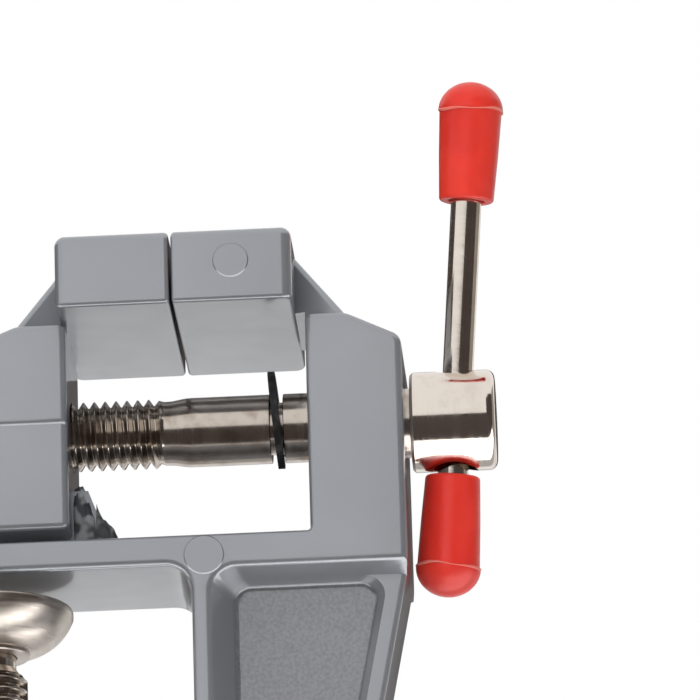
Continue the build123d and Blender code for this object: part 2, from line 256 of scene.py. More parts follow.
@dataclass(frozen=True)
class EnamelFinish:
    """Grey gloss enamel on a die casting, with orange peel and a darker, mottled colour on the
    pocket floors.
    """

    paint: Colour = (0.282, 0.292, 0.314)
    shade: Colour = (0.262, 0.272, 0.294)
    pocket: Colour = (0.165, 0.168, 0.178)
    pocket_fade: Span = (4.35, 4.95)
    pocket_left: float = 25.0
    pocket_top: float = -0.6
    mottle_scale: float = 2400.0
    cloud_scale: float = 55.0
    gloss_scale: float = 300.0
    gloss: Span = (0.28, 0.33)
    peel_scale: float = 260.0
    peel_depth: float = 0.03
    grain_scale: float = 2600.0
    grain_depth: float = 0.0015

    def material(self) -> Material:
        """Makes the enamel: cloudy colour, mottled pocket floors and two bumps.

        Returns:
            The material.
        """
        web = NodeWeb("grey_enamel")
        axes = web.add("ShaderNodeSeparateXYZ")
        web.feed(axes.inputs[0], web.place)
        depth = web.math("ABSOLUTE", axes.outputs["Y"])
        deep, shallow = (place * MM for place in self.pocket_fade)
        floor = web.remap(depth, deep, shallow, 1.0, 0.0)
        right = web.math("GREATER_THAN", axes.outputs["X"], self.pocket_left * MM)
        below = web.math("LESS_THAN", axes.outputs["Z"], self.pocket_top * MM)
        floor = web.math("MULTIPLY", web.math("MULTIPLY", floor, right), below)
        mottle = web.remap(web.noise(self.mottle_scale, 4.0), 0.3, 0.75, 0.55, 1.0)
        cloud = web.remap(web.noise(self.cloud_scale, 1.0), 0.25, 0.75)
        colour = web.mix(cloud, self.paint, self.shade)
        colour = web.mix(web.math("MULTIPLY", floor, mottle), colour, self.pocket)
        rough = web.remap(web.noise(self.gloss_scale, 0.0), 0.2, 0.8, *self.gloss)
        peel = web.bump(web.noise(self.peel_scale, 0.0), self.peel_depth)
        grain = web.bump(web.noise(self.grain_scale, 0.0), self.grain_depth, peel)
        return web.finish(
            Base_Color=colour, Roughness=rough, Normal=grain, Metallic=0.5,
            Specular_IOR_Level=0.5, Coat_Weight=0.8, Coat_Roughness=0.09,
        )


@dataclass(frozen=True)
class FlashFinish:
    """Thin paint on rough casting flash, whose near-black patches are partly its rough skin and
    partly painted shade.
    """

    # Near black: partly the flash's rough skin, partly painted shade.
    dull: Colour = (0.030, 0.032, 0.036)
    worn: Colour = (0.200, 0.205, 0.215)
    patch_scale: float = 620.0
    gloss_scale: float = 1500.0
    gloss: Span = (0.35, 0.55)
    grain_scale: float = 1300.0
    grain_depth: float = 0.08

    def material(self) -> Material:
        """Makes the flash: near-black patches, partly painted shade, in a worn grey, with a coarse
        grain.

        Returns:
            The material.
        """
        web = NodeWeb("casting_flash")
        patch = web.remap(web.noise(self.patch_scale, 1.0), 0.45, 0.62)
        rough = web.remap(web.noise(self.gloss_scale, 2.0), 0.3, 0.7, *self.gloss)
        normal = web.bump(web.noise(self.grain_scale, 2.0), self.grain_depth)
        return web.finish(
            Base_Color=web.mix(patch, self.dull, self.worn), Roughness=rough, Normal=normal,
            Metallic=0.3, Coat_Weight=0.4, Coat_Roughness=0.2,
        )


@dataclass(frozen=True)
class PlatedFinish:
    """Nickel plate on turned steel, with fine turning lines round the axis."""

    name: str
    plate: Colour
    stain: Colour
    gloss: Span
    along: Along
    line_depth: float
    line_scale: float = 5200.0
    stain_scale: float = 420.0
    stain_most: float = 0.85
    grain_scale: float = 1400.0

    def material(self) -> Material:
        """Makes the plated metal: turning lines as bump and gloss, and faint stains.

        Returns:
            The material.
        """
        web = NodeWeb(f"{self.name}_{self.along.name.lower()}")
        lines = web.noise(self.line_scale, 3.0, web.stretched(self.along.value))
        stains = web.remap(web.noise(self.stain_scale, 5.0), 0.42, 0.72, 0.0, self.stain_most)
        colour = web.mix(stains, self.plate, self.stain)
        rough = web.remap(lines, 0.3, 0.7, *self.gloss)
        normal = web.bump(lines, self.line_depth)
        normal = web.bump(web.noise(self.grain_scale, 3.0), self.line_depth, normal)
        return web.finish(Base_Color=colour, Roughness=rough, Normal=normal, Metallic=1.0)


@dataclass(frozen=True)
class SpringSteelFinish:
    """Black oxide on stamped spring steel."""

    oxide: Colour = (0.012, 0.012, 0.013)
    rubbed: Colour = (0.05, 0.048, 0.046)
    rub_scale: float = 900.0
    gloss_scale: float = 2500.0
    gloss: Span = (0.38, 0.55)
    grain_scale: float = 4000.0
    grain_depth: float = 0.006

    def material(self) -> Material:
        """Makes the oxide: near black, a little rubbed, with a matt grain.

        Returns:
            The material.
        """
        web = NodeWeb("black_oxide")
        rub = web.remap(web.noise(self.rub_scale, 4.0), 0.5, 0.75)
        rough = web.remap(web.noise(self.gloss_scale, 2.0), 0.3, 0.7, *self.gloss)
        normal = web.bump(web.noise(self.grain_scale, 2.0), self.grain_depth)
        colour = web.mix(rub, self.oxide, self.rubbed)
        return web.finish(Base_Color=colour, Roughness=rough, Normal=normal, Metallic=0.4)


@dataclass(frozen=True)
class PlasticFinish:
    """Soft gloss moulded plastic, red where no other colours are given."""

    name: str = "red_plastic"
    red: Colour = (0.790, 0.040, 0.022)
    deep: Colour = (0.690, 0.030, 0.018)
    drift_scale: float = 160.0
    gloss_scale: float = 700.0
    gloss: Span = (0.30, 0.42)
    wave_scale: float = 500.0
    wave_depth: float = 0.03
    grain_scale: float = 3200.0
    grain_depth: float = 0.006
    glow_depth: float = 0.6

    def material(self) -> Material:
        """Makes the plastic: slight colour drift, a soft gloss and a faint moulded waviness.

        Returns:
            The material.
        """
        web = NodeWeb(self.name)
        drift = web.remap(web.noise(self.drift_scale, 3.0), 0.35, 0.65)
        rough = web.remap(web.noise(self.gloss_scale, 3.0), 0.3, 0.7, *self.gloss)
        normal = web.bump(web.noise(self.wave_scale, 2.0), self.wave_depth)
        normal = web.bump(web.noise(self.grain_scale, 2.0), self.grain_depth, normal)
        return web.finish(
            Base_Color=web.mix(drift, self.red, self.deep), Roughness=rough, Normal=normal,
            Specular_IOR_Level=0.42, Subsurface_Weight=0.08,
            Subsurface_Scale=self.glow_depth * MM, Subsurface_Radius=(1.0, 0.2, 0.1),
        )


@dataclass
class Finishes:
    """All finishes of the vise as Blender materials."""

    enamel: Material = field(default_factory=lambda: EnamelFinish().material())
    flash: Material = field(default_factory=lambda: FlashFinish().material())
    oxide: Material = field(default_factory=lambda: SpringSteelFinish().material())
    plastic: Material = field(default_factory=lambda: PlasticFinish().material())
    # Paler red for the cap flash: a painted highlight along its ridge.
    flash_highlight_plastic: Material = field(
        default_factory=lambda: PlasticFinish(
            "painted_highlight_red_plastic", (0.86, 0.25, 0.20), (0.80, 0.15, 0.115)
        ).material()
    )

    def __post_init__(self) -> None:
        """Makes the plated metals for each direction of a turned axis."""
        self.screw: dict[Along, Material] = {}
        self.bright: dict[Along, Material] = {}
        for along in Along:
            self.screw[along] = PlatedFinish(
                "dull_nickel", (0.57, 0.51, 0.45), (0.36, 0.29, 0.235), (0.12, 0.22), along, 0.002
            ).material()
            self.bright[along] = PlatedFinish(
                "bright_nickel", (0.76, 0.69, 0.62), (0.68, 0.60, 0.53), (0.08, 0.17), along, 0.003
            ).material()
        self.satin: Material = PlatedFinish(
            "satin_nickel", (0.55, 0.495, 0.445), (0.45, 0.395, 0.35), (0.27, 0.40), Along.Z, 0.004
        ).material()


@dataclass
class Turned:
    """Axis of a turned or threaded surface, with two directions across it."""

    origin: np.ndarray
    along: np.ndarray
    across: np.ndarray

    def points(self, distance: np.ndarray, radius: np.ndarray, angle: np.ndarray) -> np.ndarray:
        """Places polar coordinates: origin + distance * along + radius * (cos across + sin third).

        Args:
            distance: Distances along the axis, in millimetres.
            radius: Distances from the axis, in millimetres.
            angle: Angles round the axis, in radians.

        Returns:
            Points in metres, with one more axis than the inputs.
        """
        third = np.cross(self.along, self.across)
        turned = np.cos(angle)[..., None] * self.across + np.sin(angle)[..., None] * third
        return (self.origin + distance[..., None] * self.along + radius[..., None] * turned) * MM


def unit(vector: Sequence[float]) -> np.ndarray:
    """Returns the vector at length one."""
    array = np.asarray(vector, float)
    return array / np.linalg.norm(array)


def full_turn(sides: int) -> np.ndarray:
    """Returns equal angles round an axis, in radians."""
    return np.linspace(0.0, 2.0 * np.pi, sides, endpoint=False)


def spread(outline: Outline, sides: int) -> tuple[np.ndarray, np.ndarray]:
    """Repeats an outline for every point round its axis.

    Args:
        outline: Distances along the axis and radii.
        sides: Points round the axis.

    Returns:
        Distances and radii, one row for each point of the outline.
    """
    table = np.asarray(outline, float)
    return np.repeat(table[:, :1], sides, axis=1), np.repeat(table[:, 1:], sides, axis=1)


def pose(right: np.ndarray, up: np.ndarray, back: np.ndarray, place: np.ndarray) -> Matrix:
    """Works out the matrix of an object from its axes and place.

    Args:
        right: Direction of its X axis.
        up: Direction of its Y axis.
        back: Direction of its Z axis.
        place: Its origin, in metres.

    Returns:
        The matrix.
    """
    matrix = np.eye(4)
    matrix[:3] = np.stack([right, up, back, place], axis=-1)
    return Matrix(matrix.tolist())


def closed_grid(rings: np.ndarray) -> tuple[np.ndarray, np.ndarray, np.ndarray]:
    """Joins rings of points into a closed skin.

    Quads join each ring to the next one, and a fan of triangles joins each end to its middle.

    Args:
        rings: Points as ring, place in the ring, coordinate.

    Returns:
        All points, the quads and the triangles of both ends.
    """
    rows, columns = rings.shape[:2]
    index = np.arange(rows * columns).reshape(rows, columns)
    after = np.roll(index, -1, axis=1)
    quads = np.stack([index[:-1], after[:-1], after[1:], index[1:]], axis=-1).reshape(-1, 4)
    first, last = rows * columns, rows * columns + 1
    start = np.stack([after[0], index[0], np.full(columns, first)], axis=-1)
    end = np.stack([index[-1], after[-1], np.full(columns, last)], axis=-1)
    points = np.concatenate([rings.reshape(-1, 3), rings[[0, -1]].mean(axis=1)])
    return points, quads, np.concatenate([start, end])


def signed_volume(points: np.ndarray, quads: np.ndarray, triangles: np.ndarray) -> float:
    """Adds up a sixth of a . (b x c) over the triangles a, b, c of a skin.

    Args:
        points: Its points.
        quads: Its faces with four corners.
        triangles: Its faces with three corners.

    Returns:
        The volume inside the skin, below zero where its faces point inwards.
    """
    every = np.concatenate([triangles, quads[:, [0, 1, 2]], quads[:, [0, 2, 3]]])
    a, b, c = (points[every[:, k]] for k in range(3))
    return float(np.einsum("ij,ij->i", a, np.cross(b, c)).sum() / 6.0)


def skin_object(
    name: str, rings: np.ndarray, material: Material, sharp_deg: float
) -> bpy.types.Object:
    """Makes a closed object from rings of points, its faces turned outwards.

    Args:
        name: Name of the piece.
        rings: Points as ring, place in the ring, coordinate, in metres.
        material: Its finish.
        sharp_deg: Edges that bend more than this stay sharp.

    Returns:
        The object, at the origin.
    """
    points, quads, triangles = closed_grid(rings)
    if signed_volume(points, quads, triangles) < 0:
        quads, triangles = quads[:, ::-1], triangles[:, ::-1]
    mesh = bpy.data.meshes.new(name)
    mesh.from_pydata(points, [], quads.tolist() + triangles.tolist())
    return finish_object(name, mesh, material, sharp_deg)


def finish_object(
    name: str, mesh: bpy.types.Mesh, material: Material, sharp_deg: float
) -> bpy.types.Object:
    """Merges a mesh's doubles, drops faces without area, shades it smooth and links its object.

    Args:
        name: Name of the piece.
        mesh: Its mesh, in place.
        material: Its finish.
        sharp_deg: Edges that bend more than this stay sharp.

    Returns:
        The object, at the origin.
    """
    work = bmesh.new()
    work.from_mesh(mesh)
    bmesh.ops.remove_doubles(work, verts=work.verts, dist=MERGE_DISTANCE)
    bmesh.ops.dissolve_degenerate(work, edges=work.edges, dist=MERGE_DISTANCE)
    work.to_mesh(mesh)
    work.free()
    if "custom_normal" in mesh.attributes:
        mesh.attributes.remove(mesh.attributes["custom_normal"])
    mesh.materials.clear()
    mesh.materials.append(material)
    mesh.shade_smooth()
    mesh.set_sharp_from_angle(angle=np.radians(sharp_deg))
    piece = bpy.data.objects.new(name, mesh)
    bpy.context.scene.collection.objects.link(piece)
    return piece


def lathe(
    name: str, axis: Turned, profile: Outline, material: Material, sides: int,
    sharp_deg: float = 40.0,
) -> bpy.types.Object:
    """Makes a turned piece: each profile point (distance, radius) swept round the axis.

    Args:
        name: Name of the piece.
        axis: Its axis.
        profile: Distances along the axis and radii, in millimetres.
        material: Its finish.
        sides: Points round the axis.
        sharp_deg: Edges that bend more than this stay sharp.

    Returns:
        The object.
    """
    distance, radius = spread(profile, sides)
    angle = np.broadcast_to(full_turn(sides), distance.shape)
    return skin_object(name, axis.points(distance, radius, angle), material, sharp_deg)


def arc(centre: Span, radii: Span, start_deg: float, end_deg: float, count: int) -> list[Span]:
    """Works out an elliptic arc: centre + (radii[0] cos t, radii[1] sin t).

    Args:
        centre: Middle of the ellipse.
        radii: Its half sizes.
        start_deg: Angle t of the first point.
        end_deg: Angle t of the last point.
        count: Number of points.

    Returns:
        The points.
    """
    turn = np.radians(np.linspace(start_deg, end_deg, count))
    return list(zip(centre[0] + radii[0] * np.cos(turn), centre[1] + radii[1] * np.sin(turn)))


def merged_copy(node: str, name: str, material: Material, sharp_deg: float) -> bpy.types.Object:
    """Makes a smooth-shaded copy of a CAD node, with its loose triangles joined.

    Args:
        node: Name of the CAD node.
        name: Name of the piece.
        material: Its finish.
        sharp_deg: Edges that bend more than this stay sharp.

    Returns:
        The copy.
    """
    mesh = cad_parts[node].data.copy()
    mesh.name = name
    return finish_object(name, mesh, material, sharp_deg)


def fit(piece: bpy.types.Object, body: Body, slot: Slot, *nodes: str) -> None:
    """Lets a piece ride on a body and hides the nodes it stands for.

    Args:
        piece: The piece.
        body: Body that carries it.
        slot: Slot of the record that its finish belongs to; not used.
        nodes: CAD nodes that it replaces.
    """
    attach(piece, body.value)
    if nodes:
        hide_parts(*nodes)
    LOG.info("%s rides on %s, %d faces", piece.name, body.value, len(piece.data.polygons))


@dataclass
class ThreadedRod:
    """Rolled thread on a rod: a flank profile carried along a helix round the axis."""

    pitch: float = 1.25
    crest: float = 3.98
    root: float = 3.24
    crest_share: float = 0.14
    root_share: float = 0.12
    sides: int = 96
    fade_turns: float = 0.9
    soft: float = 0.03

    def profile(self) -> tuple[np.ndarray, np.ndarray]:
        """Works out the thread's section: root, flank, soft crest, flank.

        Returns:
            Shares of one pitch and the radius at each.
        """
        half_root, half_crest = self.root_share / 2, self.crest_share / 2
        share = np.array([0.0, half_root, 0.5 - half_crest, 0.5, 0.5 + half_crest, 1.0 - half_root])
        low, high = self.root + self.soft, self.crest - self.soft
        return share, np.array([self.root, low, high, self.crest, high, low])

    def rings(
        self, start: float, end: float, end_radius: float, chamfer: float
    ) -> tuple[np.ndarray, np.ndarray]:
        """Works out the helix: distance = row + pitch * angle / turn, held between start and end.

        The radius goes from the thread's profile to end_radius over the last turn,
        and stays under a cone that widens from the start by the chamfer.

        Args:
            start: First distance along the axis.
            end: Last distance along the axis.
            end_radius: Radius that the thread runs out to.
            chamfer: Length of the chamfer at the start.

        Returns:
            Distances and radii of every ring.
        """
        share, radius = self.profile()
        turns = int(np.ceil((end - start) / self.pitch)) + 2
        row = (np.arange(turns)[:, None] + share[None, :]).reshape(-1) * self.pitch
        row = row + start - self.pitch
        height = np.tile(radius, turns)
        angle = np.linspace(0.0, 1.0, self.sides, endpoint=False)
        distance = np.clip(row[:, None] + self.pitch * angle[None, :], start, end)
        fade = np.clip((end - distance) / (self.fade_turns * self.pitch), 0.0, 1.0)
        reach = height[:, None] * fade + end_radius * (1.0 - fade)
        return distance, np.minimum(reach, self.crest - chamfer + (distance - start))


@dataclass
class CastFrame:
    """Fixed casting: jaw, post, rail, C arm and lower arm, with the rough end of its guide."""

    sharp_deg: float = 32.0
    rail_top: float = 3.6
    guide_root: float = 3.0
    guide_flare: float = 0.1714
    knob: tuple[Span, ...] = (
        (9.86, 10.0), (10.0, 10.9), (10.5, 11.3), (11.0, 11.2), (11.4, 10.5), (11.8, 9.4),
        (12.3, 7.6),
    )
    stub: tuple[Span, ...] = (
        (12.3, 6.5), (12.45, 9.3), (12.7, 8.5), (13.1, 7.6), (13.7, 7.0), (14.4, 6.3),
        (14.8, 5.3), (14.95, 4.0),
    )
    knob_proud: float = 0.12
    stub_proud: float = 0.1
    foot_sink: float = 0.05
    sections: int = 16
    levels: tuple[float, ...] = (0.0, 0.35, 0.7, 0.92, 1.0)
    insets: tuple[float, ...] = (0.0, 0.0, 0.0, 0.15, 0.5)
    raggedness: float = 0.10
    seed: int = 7

    def ragged_end(self, name: str, outline: Outline, proud: float, finishes: Finishes) -> None:
        """Builds a lump of casting flash across the guide.

        Each section along X is a dovetail: its half width is root + flare * height + proud, less an
        inset near the top. Its top follows the outline, and seeded noise moves the points of the
        top and of both sides.

        Args:
            name: Name of the piece.
            outline: Places along X and heights of the top, in millimetres.
            proud: How far its sides stand out of the guide's.
            finishes: Materials of the vise.
        """
        chance = np.random.default_rng(self.seed)
        places, tops = np.asarray(outline, float).T
        run = np.linspace(places[0], places[-1], self.sections)
        top = np.interp(run, places, tops) + chance.normal(0.0, self.raggedness / 2, run.size)
        foot = self.rail_top - self.foot_sink
        height = foot + (top - foot)[:, None] * np.array(self.levels)
        half = self.guide_root + self.guide_flare * (height - self.rail_top) + proud
        half = half - np.array(self.insets) + chance.normal(0.0, self.raggedness / 4, half.shape)
        across = np.concatenate([-half, half[:, ::-1]], axis=1)
        level = np.concatenate([height, height[:, ::-1]], axis=1)
        rings = np.stack(np.broadcast_arrays(run[:, None], across, level), axis=-1) * MM
        lump = skin_object(name, rings, finishes.flash, FLASH_SHARP_DEG)
        fit(lump, Body.FRAME, Slot.CASTING)

    def build(self, finishes: Finishes) -> None:
        """Builds the casting's smooth copy and the rough end of its guide.

        Args:
            finishes: Materials of the vise.
        """
        casting = merged_copy("frame", "casting", finishes.enamel, self.sharp_deg)
        fit(casting, Body.FRAME, Slot.CASTING, "frame")
        self.ragged_end("guide_knob", self.knob, self.knob_proud, finishes)
        self.ragged_end("guide_stub", self.stub, self.stub_proud, finishes)


@dataclass
class SlidingJaw:
    """Moving jaw casting."""

    sharp_deg: float = 32.0

    def build(self, finishes: Finishes) -> None:
        """Builds the jaw's smooth copy.

        Args:
            finishes: Materials of the vise.
        """
        jaw = merged_copy("moving_jaw", "sliding_jaw", finishes.enamel, self.sharp_deg)
        fit(jaw, Body.JAW, Slot.CASTING, "moving_jaw")


@dataclass
class TommyHandle:
    """Turned head on a screw's end, its loose bar and the two moulded caps."""

    name: str
    head_node: str
    bar_node: str
    cap_nodes: tuple[str, str]
    screw_body: Body
    bar_body: Body
    bar_axis: Turned
    low_mouth: float
    high_mouth: float
    head_along: Along
    bar_along: Along
    bar_radius: float = 1.75
    bore_depth: float = 9.0
    mouth_radius: float = 3.15
    shoulder_radius: float = 3.58
    dome_radius: float = 3.72
    barrel: float = 10.6
    dome: float = 3.35
    hole_radius: float = 2.05
    hole_depth: float = 1.2
    hole_edge: float = 0.25
    hole_cone: float = 0.3
    bar_bite: float = 0.05
    lip: float = 0.42
    ledge: float = 0.16
    swell: float = 0.04
    shoulder_run: float = 0.1
    shoulder_rise: float = 0.03
    bar_edge: float = 0.3
    head_sharp_deg: float = 30.0
    cap_sharp_deg: float = 35.0
    cap_sides: int = 96
    bar_sides: int = 64
    flash_thickness: float = 0.10
    flash_width: float = 0.14
    flash_wave: float = 0.16
    flash_drop: float = 0.1
    flash_sink: float = 0.04
    flash_gap_share: float = 0.03
    flash_end_share: float = 0.05
    flash_sections: int = 121
    flash_sides: int = 10

    def cap_profile(self) -> list[Span]:
        """Works out the cap's outline: hole, rounded mouth, tapered barrel, ledge and dome.

        Returns:
            Distances from the mouth and radii.
        """
        hole, lip, ledge = self.hole_edge, self.lip, self.ledge
        middle = (self.mouth_radius + self.shoulder_radius) / 2
        points = [
            (self.hole_depth + self.hole_cone, self.bar_radius - self.bar_bite),
            (self.hole_depth, self.hole_radius),
            (hole, self.hole_radius + self.swell),
        ]
        points += arc((hole, self.hole_radius + self.swell + hole), (hole, hole), 270.0, 180.0, 5)
        points += arc((lip, self.mouth_radius - lip), (lip, lip), 180.0, 96.0, 7)
        points += [
            (self.barrel * 0.5, middle + self.swell),
            (self.barrel - ledge - self.shoulder_run, self.shoulder_radius),
            (self.barrel - ledge, self.shoulder_radius + self.shoulder_rise),
        ]
        points += arc((self.barrel, self.dome_radius - ledge), (ledge, ledge), 170.0, 90.0, 6)
        points += arc((self.barrel, 0.0), (self.dome, self.dome_radius), 86.0, 2.0, 22)
        return points

    def cap_flash(self, name: str, axis: Turned, phase: float, finishes: Finishes) -> None:
        """Builds the thin moulding flash round a cap's dome, in a paler red that paints the
        highlight along its ridge.

        An ellipse is carried round the axis at the dome's base. Its place along the axis is a sum
        of two sines of the angle, its width a third one, and it thins out where it ends.

        Args:
            name: Name of the piece.
            axis: Axis of the cap, from its mouth to its dome.
            phase: Angle that the sines start from, in radians.
            finishes: Materials of the vise.
        """
        back = np.array([0.0, 1.0, 0.0])
        start = np.arctan2(np.cross(axis.along, axis.across) @ back, axis.across @ back)
        share = np.linspace(0.0, 1.0, self.flash_sections)[:, None]
        around = full_turn(self.flash_sides)[None, :]
        gap, thin = self.flash_gap_share, self.flash_end_share
        angle = start + 2.0 * np.pi * (gap + (1.0 - 2.0 * gap) * share)
        taper = thin + (1.0 - thin) * np.sin(np.pi * share) ** 0.3
        sines = np.sin(2.0 * angle + phase) + 0.4 * np.sin(5.0 * angle + 2.0 * phase)
        width = self.flash_width * (1.0 + 0.5 * np.sin(3.0 * angle + phase)) * taper
        middle = self.barrel - self.flash_drop + self.flash_wave * sines
        distance = middle + width * np.sin(around)
        height = self.flash_thickness * taper * np.cos(around)
        radius = self.dome_radius - self.flash_sink + height
        rings = axis.points(distance, radius, np.broadcast_to(angle, distance.shape))
        flash = skin_object(name, rings, finishes.flash_highlight_plastic, FLASH_SHARP_DEG)
        fit(flash, self.bar_body, Slot.CAP)

    def build(self, finishes: Finishes) -> None:
        """Builds head, bar and caps.

        Args:
            finishes: Materials of the vise.
        """
        plate = finishes.bright[self.head_along]
        head = merged_copy(self.head_node, f"{self.name}_head", plate, self.head_sharp_deg)
        fit(head, self.screw_body, Slot.BRIGHT, self.head_node)
        low, high = self.low_mouth - self.bore_depth, self.high_mouth + self.bore_depth
        edge = self.bar_edge
        rod = [(low, self.bar_radius - edge), (low + edge, self.bar_radius)]
        rod += [(self.low_mouth, self.bar_radius), (self.high_mouth, self.bar_radius)]
        rod += [(high - edge, self.bar_radius), (high, self.bar_radius - edge)]
        plate = finishes.bright[self.bar_along]
        bar = lathe(f"{self.name}_tommy_bar", self.bar_axis, rod, plate, self.bar_sides)
        fit(bar, self.bar_body, Slot.BRIGHT, self.bar_node)
        mouths = ((self.low_mouth, -1.0), (self.high_mouth, 1.0))
        for node, label, (mouth, way) in zip(self.cap_nodes, ("low", "high"), mouths):
            axis = Turned(
                self.bar_axis.origin + mouth * self.bar_axis.along,
                way * self.bar_axis.along,
                self.bar_axis.across,
            )
            cap = lathe(
                f"{self.name}_cap_{label}", axis, self.cap_profile(), finishes.plastic,
                self.cap_sides, self.cap_sharp_deg,
            )
            fit(cap, self.bar_body, Slot.CAP, node)
            self.cap_flash(f"{self.name}_flash_{label}", axis, way + 1.5, finishes)


@dataclass
class ViseScrew:
    """Horizontal screw: rolled thread, neck, shank with a groove, and the open ring in it."""

    axis: Turned
    left: float = -30.0
    thread_end: float = 20.3
    shank_start: float = 23.1
    head_start: float = 48.5
    neck_radius: float = 3.65
    shank_radius: float = 3.97
    runout: float = 0.15
    neck_length: float = 0.9
    neck_flare: float = 0.03
    lead_length: float = 0.5
    lead_depth: float = 0.05
    groove: Span = (32.45, 33.95)
    groove_radius: float = 3.0
    edge: float = 0.08
    ring_turn_deg: float = 28.0
    ring_lean_deg: float = 4.9
    ring_sharp_deg: float = 30.0
    spigot_radius: float = 2.75
    spigot_length: float = 1.9
    chamfer: float = 0.9
    thread: ThreadedRod = field(default_factory=ThreadedRod)

    def shank(self) -> list[Span]:
        """Works out the outline past the thread: coned neck, shank, groove and spigot.

        Returns:
            Places along the axis and radii.
        """
        shank, edge = self.shank_radius, self.edge
        left, right = self.groove
        return [
            (self.thread_end + self.runout, self.neck_radius),
            (self.thread_end + self.neck_length, self.neck_radius + self.neck_flare),
            (self.shank_start - self.lead_length, shank - self.lead_depth),
            (self.shank_start, shank),
            (left - edge, shank),
            (left, shank - edge),
            (left, self.groove_radius),
            (right, self.groove_radius),
            (right, shank - edge),
            (right + edge, shank),
            (self.head_start - edge, shank),
            (self.head_start, shank - edge),
            (self.head_start, self.spigot_radius),
            (self.head_start + self.spigot_length, self.spigot_radius),
        ]

    def build(self, finishes: Finishes) -> None:
        """Builds the screw and the ring.

        Args:
            finishes: Materials of the vise.
        """
        sides = self.thread.sides
        rolled = self.thread.rings(self.left, self.thread_end, self.neck_radius, self.chamfer)
        plain = spread(self.shank(), sides)
        distance, radius = (np.concatenate(pair) for pair in zip(rolled, plain))
        angle = np.broadcast_to(full_turn(sides), distance.shape)
        rings = self.axis.points(distance, radius, angle)
        screw = skin_object("rolled_vise_screw", rings, finishes.screw[Along.X], THREAD_SHARP_DEG)
        fit(screw, Body.VISE_SCREW, Slot.SCREW, "vise_screw")
        self.loose_ring(finishes)

    def loose_ring(self, finishes: Finishes) -> None:
        """Builds the open ring as it hangs in its groove, which is wider than the CAD model's.

        Each point turns round the screw's axis, and then moves back along it by the lean's tangent
        times the point's height over the axis.

        Args:
            finishes: Materials of the vise.
        """
        ring = merged_copy("retaining_clip", "open_ring", finishes.oxide, self.ring_sharp_deg)
        points = np.empty(3 * len(ring.data.vertices))
        ring.data.vertices.foreach_get("co", points)
        along, across, up = (points.reshape(-1, 3) / MM - self.axis.origin).T
        turn, lean = np.radians((self.ring_turn_deg, self.ring_lean_deg))
        side = across * np.cos(turn) - up * np.sin(turn)
        up = across * np.sin(turn) + up * np.cos(turn)
        along = along - np.tan(lean) * up
        moved = (np.stack([along, side, up], axis=-1) + self.axis.origin) * MM
        ring.data.vertices.foreach_set("co", moved.ravel())
        ring.data.update()
        fit(ring, Body.VISE_SCREW, Slot.CLIP, "retaining_clip")


@dataclass
class TableClamp:
    """Vertical screw of the table clamp, with its tip, and the domed pad that turns on it."""

    axis: Turned
    pad_top: float = -2.2
    pad_radius: float = 9.3
    pad_rim: float = 0.9
    pad_dome: float = 4.0
    neck_radius: float = 4.3
    neck_height: float = 0.5
    socket_radius: float = 2.75
    crown: float = 1.6
    pad_edge: float = 0.3
    pad_sag: float = 0.9
    neck_edge: float = 0.15
    socket_edge: float = 0.1
    dome_points: int = 14
    pad_sides: int = 128
    pad_sharp_deg: float = 35.0
    tip_radius: float = 2.7
    tip_top: float = -3.85
    tip_edge: float = 0.3
    cone_top: float = -9.0
    cone: float = 0.9
    chamfer: float = 0.5
    head_top: float = -61.0
    spigot_radius: float = 2.75
    spigot_length: float = 1.9
    thread: ThreadedRod = field(default_factory=ThreadedRod)

    def pad_profile(self) -> list[Span]:
        """Works out the pad's outline: flat top, rim, dome, neck and socket.

        The dome is a chord from rim to neck, pushed out by 4 sag t (1 - t) at share t of it.

        Returns:
            Drops below the origin and radii.
        """
        top, edge, bevel = -self.pad_top, self.pad_edge, self.neck_edge
        dome_start = top + self.pad_rim
        chord = np.linspace(0.0, 1.0, self.dome_points)
        bulge = 4.0 * self.pad_sag * chord * (1.0 - chord)
        run, drop = self.pad_radius - self.neck_radius, self.pad_dome
        length = np.hypot(run, drop)
        dome = zip(
            dome_start + drop * chord + bulge * run / length,
            self.pad_radius - run * chord + bulge * drop / length,
        )
        bottom = dome_start + drop + self.neck_height
        points = [(top, self.pad_radius - edge)]
        points += arc((top + edge, self.pad_radius - edge), (edge, edge), 180.0, 90.0, 5)
        points += list(dome)
        points += [(bottom - bevel, self.neck_radius), (bottom, self.neck_radius - bevel)]
        points += [(bottom, self.socket_radius + self.socket_edge)]
        points += [(bottom - bevel, self.socket_radius), (top + self.crown, self.socket_radius)]
        return points

    def build(self, finishes: Finishes) -> None:
        """Builds the pad and the screw.

        Args:
            finishes: Materials of the vise.
        """
        pad = lathe(
            "domed_pad", self.axis, self.pad_profile(), finishes.satin,
            self.pad_sides, self.pad_sharp_deg,
        )
        fit(pad, Body.PAD, Slot.BRIGHT, "clamp_pad")
        sides = self.thread.sides
        start, end = -(self.cone_top - self.cone), -self.head_top
        tip = [
            (-self.tip_top, self.tip_radius - self.tip_edge),
            (-self.tip_top + self.tip_edge, self.tip_radius),
            (-self.cone_top, self.tip_radius),
        ]
        foot = [(end, self.spigot_radius), (end + self.spigot_length, self.spigot_radius)]
        rolled = self.thread.rings(start, end, self.thread.root, self.chamfer)
        parts = zip(spread(tip, sides), rolled, spread(foot, sides))
        distance, radius = (np.concatenate(part) for part in parts)
        angle = np.broadcast_to(full_turn(sides), distance.shape)
        rings = self.axis.points(distance, radius, angle)
        screw = skin_object("rolled_clamp_screw", rings, finishes.screw[Along.Z], THREAD_SHARP_DEG)
        fit(screw, Body.CLAMP_SCREW, Slot.SCREW, "clamp_screw")


